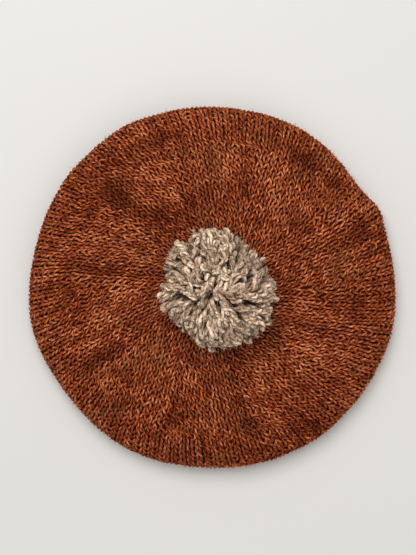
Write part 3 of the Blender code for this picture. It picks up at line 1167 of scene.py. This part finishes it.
def add_gathering(yarn):
    """The end of the yarn, drawn through the last loops round the eye."""
    turn = full_turn(GATHER_STEPS)
    radius = EYE_RADIUS + GATHER_SIDEWAYS[1] * np.cos(GATHER_SIDEWAYS[0] * turn)
    height = PROFILE[2][0] + GATHER_UPWARDS[1] * np.sin(GATHER_UPWARDS[0] * turn)
    path = polar(turn, radius, height)
    yarn.add_even(path[None], (0, 0, 1), *GATHER_YARN, closed=True)


def smooth_sheet(name, points, look, node):
    """A closed sheet round the axis, from a grid of points of row, turn and axis."""
    rings, sides = points.shape[:2]
    i = np.arange(rings - 1)[:, None]
    faces = quads(i, i + 1, sides).reshape(-1, 4)
    mesh = bpy.data.meshes.new(name)
    mesh.from_pydata(points.reshape(-1, 3).tolist(), [], faces.tolist())
    add_piece(name, mesh, look, node)


def build_inside():
    """The cloth's inside, seen between the crown's and body's stitches, in painted shade."""
    rows, sides = INSIDE_GRID
    along, turn = np.meshgrid(np.linspace(0, BAND_AT, rows), full_turn(sides), indexing="ij")
    smooth_sheet("cloth_inside", cloth(along, turn), shaded_rust, "crown")


rounds = plan_rounds()
crown_edge = RIM_AT + RIM_OVERLAP
whole = [i for i, r in enumerate(rounds) if not r.ribbed]
ribbing = [i for i, r in enumerate(rounds) if r.ribbed]
under = [i for i in whole if rounds[i].at > crown_edge]
inner = [i for i in whole if rounds[i].stitches < STITCHES_PER_WEDGE]
outer = [i for i in whole if i not in under + inner]
half = len(under) // 2
third = len(inner) // 3

knit("band_ribbing", ribbing, RIB_LOOP, "band", fibres=1.5, finish=add_cast_on)
knit("body_underside", under[:half], PLAIN_LOOP, "body", fibres=0.8)
knit("body_lower_rim", under[half:], PLAIN_LOOP, "body", fibres=0.8)
knit("crown_rim", outer, FINE_LOOP, "crown", fibres=3.0)
knit("crown_shoulder", inner[:third], FINE_LOOP, "crown", fibres=2.0)
knit("crown_top", inner[third:], FINE_LOOP, "crown", fibres=2.0, finish=add_gathering)
build_inside()


# The pompom


def crown_surface(x, y):
    """Height of the knitted top under a point near the pompom."""
    along = np.interp(np.hypot(x, y), TOP_RADIUS, TOP_AT)
    return cloth(along, np.arctan2(y, x))[..., 2] + LOOP_DEPTH + YARN_THICKNESS / 2


def strand_paths(size):
    """Strands that rise from the pompom's heart and bend over, mostly away from the parting."""
    number = np.arange(STRANDS)
    level = 1 - LEVEL_SPAN * ((number + 0.5) / STRANDS) ** LEVEL_CROWDING
    spin = number * math.pi * (3 - math.sqrt(5))
    flat = np.sqrt(1 - level**2)
    ways = unit(polar(spin, flat, level) + WAY_SCATTER * rng.standard_normal((STRANDS, 3)))
    surface = ways * size
    normals = unit(ways / size)
    steep = np.maximum(ways[:, 2], 0)

    away = surface[:, :2] - np.array(PARTING)
    central = np.exp(-((np.linalg.norm(away, axis=1) / PARTING_SPREAD) ** 2))
    upper = smooth_step(away[:, 1], *UPPER_FROM_TO)
    clumps = unit(rng.standard_normal((CLUMPS, 3)))
    near = np.exp(CLUMP_TIGHTNESS * (ways @ clumps.T - 1))
    aside = near @ rng.normal(0, CLUMP_TURN, CLUMPS) / near.sum(axis=1)
    aside = (aside + rng.normal(0, STRAND_TURN, STRANDS)) * grown(TURN_SHARES, upper)
    way = np.arctan2(away[:, 1], away[:, 0]) + aside * (1 + PARTING_TURN * central)
    fall = polar(way, 1, 0)
    laid_way = unit(fall - normals * (fall * normals).sum(axis=1, keepdims=True))
    laid = rng.uniform(*LAID_LENGTHS, STRANDS) * grown(LAID_SHARES, steep)
    laid = laid * (1 - LAID_LESS_ABOVE * upper)
    reach = rng.uniform(*REACHES, STRANDS)

    t = np.linspace(0, 1, STRAND_RINGS)
    out = 1 - (1 - np.minimum(t / RISE_END, 1)) ** RISE_POWER
    over = np.maximum(t - BEND_START, 0) / (1 - BEND_START)
    paths = surface[:, None] * (ROOT_SHARE + (reach[:, None] - ROOT_SHARE) * out)[..., None]
    paths = paths + laid_way[:, None] * (laid[:, None] * over**BEND_POWER)[..., None]
    lift = rng.uniform(*ARCH_LIFTS, STRANDS)
    paths = paths + normals[:, None] * (lift[:, None] * np.sin(ARCH_TURN * over))[..., None]
    paths[..., 2] -= TIP_DROP * over**2 * (1 - TIP_DROP_LESS * steep[:, None])
    wave = t[None, :, None] * rng.uniform(*WAVE_TURNS, (STRANDS, 1, 3))
    wave = wave + rng.uniform(*WAVE_STARTS, (STRANDS, 1, 3))
    paths = paths + WAVE_HEIGHT * np.sin(wave) * t[None, :, None]

    azimuth = np.degrees(np.arctan2(paths[..., 1], paths[..., 0]))
    flatness = np.linalg.norm(paths[..., :2], axis=2) / np.linalg.norm(paths, axis=2)
    share = 1 + flatness * bumps(azimuth, POMPOM_LOBES)
    paths *= share[..., None]
    limit = share * rng.uniform(*TRIMS, (STRANDS, 1))
    paths *= np.minimum(1.0, limit / np.linalg.norm(paths / size, axis=2))[..., None]
    return paths, np.cross(normals, laid_way)


def add_strands(paths, aims, rim):
    """The pompom's strands; rim is how far out their rings lie, as a share of its size."""
    yarn = Yarn(STRAND_SIDES)
    t = np.linspace(0, 1, STRAND_RINGS)
    wide = STRAND_WIDTH / 2 * rng.uniform(*STRAND_WIDTHS, (STRANDS, 1))
    wide = wide * (1 + TIP_WIDENING * smooth_step(t, TIP_FROM, 1))
    wide[:, 0] *= CLOSED_END
    wide[:, -2] *= TIP_ROUNDING
    wide[:, -1] *= CLOSED_END
    shade = STRAND_SHADE * rng.random((STRANDS, 1)) + TIP_SHADE * t
    # Painted shade on the strands' inner sides and deep in the pompom
    side = grown(SIDE_OPENNESS, smooth_step(yarn.section[:, 0], *SIDE_FROM_TO))
    openness = smooth_step(rim, *DEEP_TO_OPEN)[..., None] * side
    fray = grown(FRAYS, smooth_step(t, TIP_FROM, FRAY_END))[None, :, None]
    twist = {"twist": STRAND_TWIST, "depth": STRAND_PLY_DEPTH, "fray": fray}
    yarn.add(paths, aims[:, None], (wide, wide), shade, openness, **twist)
    yarn.piece("pompom_strands", oat, "pompom")


def add_core(centre, size):
    """The pompom's heart, which shows between its strands, in painted shade."""
    rows, sides = CORE_GRID
    rises = np.radians(np.linspace(CORE_LATITUDE, -CORE_LATITUDE, rows))
    rise, turn = np.meshgrid(rises, full_turn(sides), indexing="ij")
    core = centre + POMPOM_CORE * size * polar(turn, np.cos(rise), np.sin(rise))
    smooth_sheet("pompom_core", core, shaded_oat, "pompom")


def add_strand_fibres(paths, centre):
    """Fine fibres on the outer half of the strands, most of them at the tips."""
    fuzz = Yarn(FIBRE_SIDES)
    strand = rng.integers(STRANDS, size=STRAND_FIBRES * STRANDS)
    ring = rng.integers(STRAND_RINGS // 2, STRAND_RINGS - 1, size=len(strand))
    ring[::TIP_FIBRE_EVERY] = STRAND_RINGS - 2
    tangent = unit(paths[strand, ring + 1] - paths[strand, ring - 1])
    outward = unit(paths[strand, ring] - centre)
    scatter = STRAND_FIBRE_SCATTER * rng.standard_normal(tangent.shape)
    ways = unit(tangent + STRAND_FIBRE_OUTWARD * outward + scatter)
    roots = unit(outward + STRAND_FIBRE_ROUND * rng.standard_normal(tangent.shape))
    roots = paths[strand, ring] + STRAND_FIBRE_ROOT * STRAND_WIDTH * roots
    lengths = rng.uniform(*STRAND_FIBRE_LENGTHS, len(strand))
    add_fibres(fuzz, roots, ways, lengths)
    fuzz.piece("pompom_fuzz", oat_fibre, "pompom")


def build_pompom():
    seat = float(crown_surface(POMPOM_SEAT * RIM_RADIUS, 0.0))
    centre = np.array([POMPOM_OFFSET, 0.0, seat + POMPOM_BELOW * POMPOM_HEIGHT])
    half = POMPOM_DIAMETER / 2
    size = np.array([half, half, (1 - POMPOM_BELOW) * POMPOM_HEIGHT])
    paths, aims = strand_paths(size)
    rim = np.linalg.norm(paths / size, axis=2)
    paths = paths + centre
    lowest = crown_surface(paths[..., 0], paths[..., 1]) + STRAND_CLEARANCE * STRAND_WIDTH
    paths[..., 2] = np.maximum(paths[..., 2], lowest)
    add_strands(paths, aims, rim)
    add_core(centre, size)
    add_strand_fibres(paths, centre)


def build_tie():
    """The yarn that ties the pompom on, through the eye, with a knot and two tails inside."""
    yarn = Yarn(TIE_SIDES)
    low = np.array([0.0, 0.0, PROFILE[2][0] - CROWN_WALL])
    t = full_turn(KNOT_STEPS)
    knot = [np.sin(t) + 2 * np.sin(2 * t), np.cos(t) - 2 * np.cos(2 * t), -np.sin(3 * t)]
    knot = KNOT_SCALE * np.stack(knot, axis=-1) + low
    yarn.add_even(knot[None], (0, 0, 1), *KNOT_YARN, closed=True)

    t = np.linspace(0, 1, STEM_STEPS)
    spin = STEM_TURNS * 2 * math.pi * t + np.array([[0.0], [math.pi]])
    stems = polar(spin, STEM_RADIUS, low[2] + t * STEM_SHARE * POMPOM_HEIGHT)
    yarn.add_even(stems, (1, 0, 0), *STEM_YARN)

    sag = np.array([0.0, 0.0, -TAIL_SAG])
    tails = (np.array(TAIL_WAYS)[:, None] * t[:, None] + sag * t[:, None] ** 2) * TAIL_LENGTH + low
    wide = TAIL_HALF_WIDTH * (1 + TAIL_WIDENING * t) * np.ones((len(tails), 1))
    wide[:, -1] *= CLOSED_END
    shade = np.full(wide.shape, TAIL_SHADE)
    aims = np.array([[TAIL_AIM]])
    yarn.add(tails, aims, (wide, wide), shade, 1.0, twist=STRAND_TWIST, depth=STRAND_PLY_DEPTH)
    yarn.piece("tie_knot", oat, "pompom_tie")


rng = np.random.default_rng(2)
build_pompom()
build_tie()


# Floor, light and camera


def area_light(name, place, size, power):
    """A square light that shines on the middle of the floor."""
    data = bpy.data.lights.new(name, "AREA")
    data.shape = "SQUARE"
    data.size = size
    data.energy = power
    lamp = add_object(name, data)
    lamp.location = place
    aim = -np.array(place) / np.linalg.norm(place)
    lamp.rotation_euler = (math.acos(-aim[2]), 0.0, math.atan2(-aim[0], aim[1]))


def build_stage():
    half = FLOOR_HALF
    mesh = bpy.data.meshes.new("floor")
    corners = [(-half, -half, 0.0), (half, -half, 0.0), (half, half, 0.0), (-half, half, 0.0)]
    mesh.from_pydata(corners, [], [(0, 1, 2, 3)])
    look = bpy.data.materials.new("floor")
    look.use_nodes = True
    shader = look.node_tree.nodes["Principled BSDF"]
    finish = {"Base Color": (*FLOOR_COLOUR, 1.0), "Roughness": FLOOR_ROUGHNESS}
    fill(look.node_tree, shader, finish)
    mesh.materials.append(look)
    made = add_object("floor", mesh)
    world = bpy.data.worlds.new("studio")
    world.use_nodes = True
    background = world.node_tree.nodes["Background"]
    sky = {"Color": (*SKY_COLOUR, 1.0), "Strength": SKY_STRENGTH}
    fill(world.node_tree, background, sky)
    bpy.context.scene.world = world
    bpy.context.scene.view_settings.view_transform = "Standard"
    for light in LIGHTS:
        area_light(*light)


def build_camera():
    data = bpy.data.cameras.new("camera")
    for name, value in CAMERA.items():
        setattr(data, name, value)
    made = add_object("camera", data)
    made.location = (*CAMERA_XY, CAMERA_HEIGHT)
    bpy.context.scene.camera = made


build_stage()
build_camera()

bpy.context.view_layer.update()
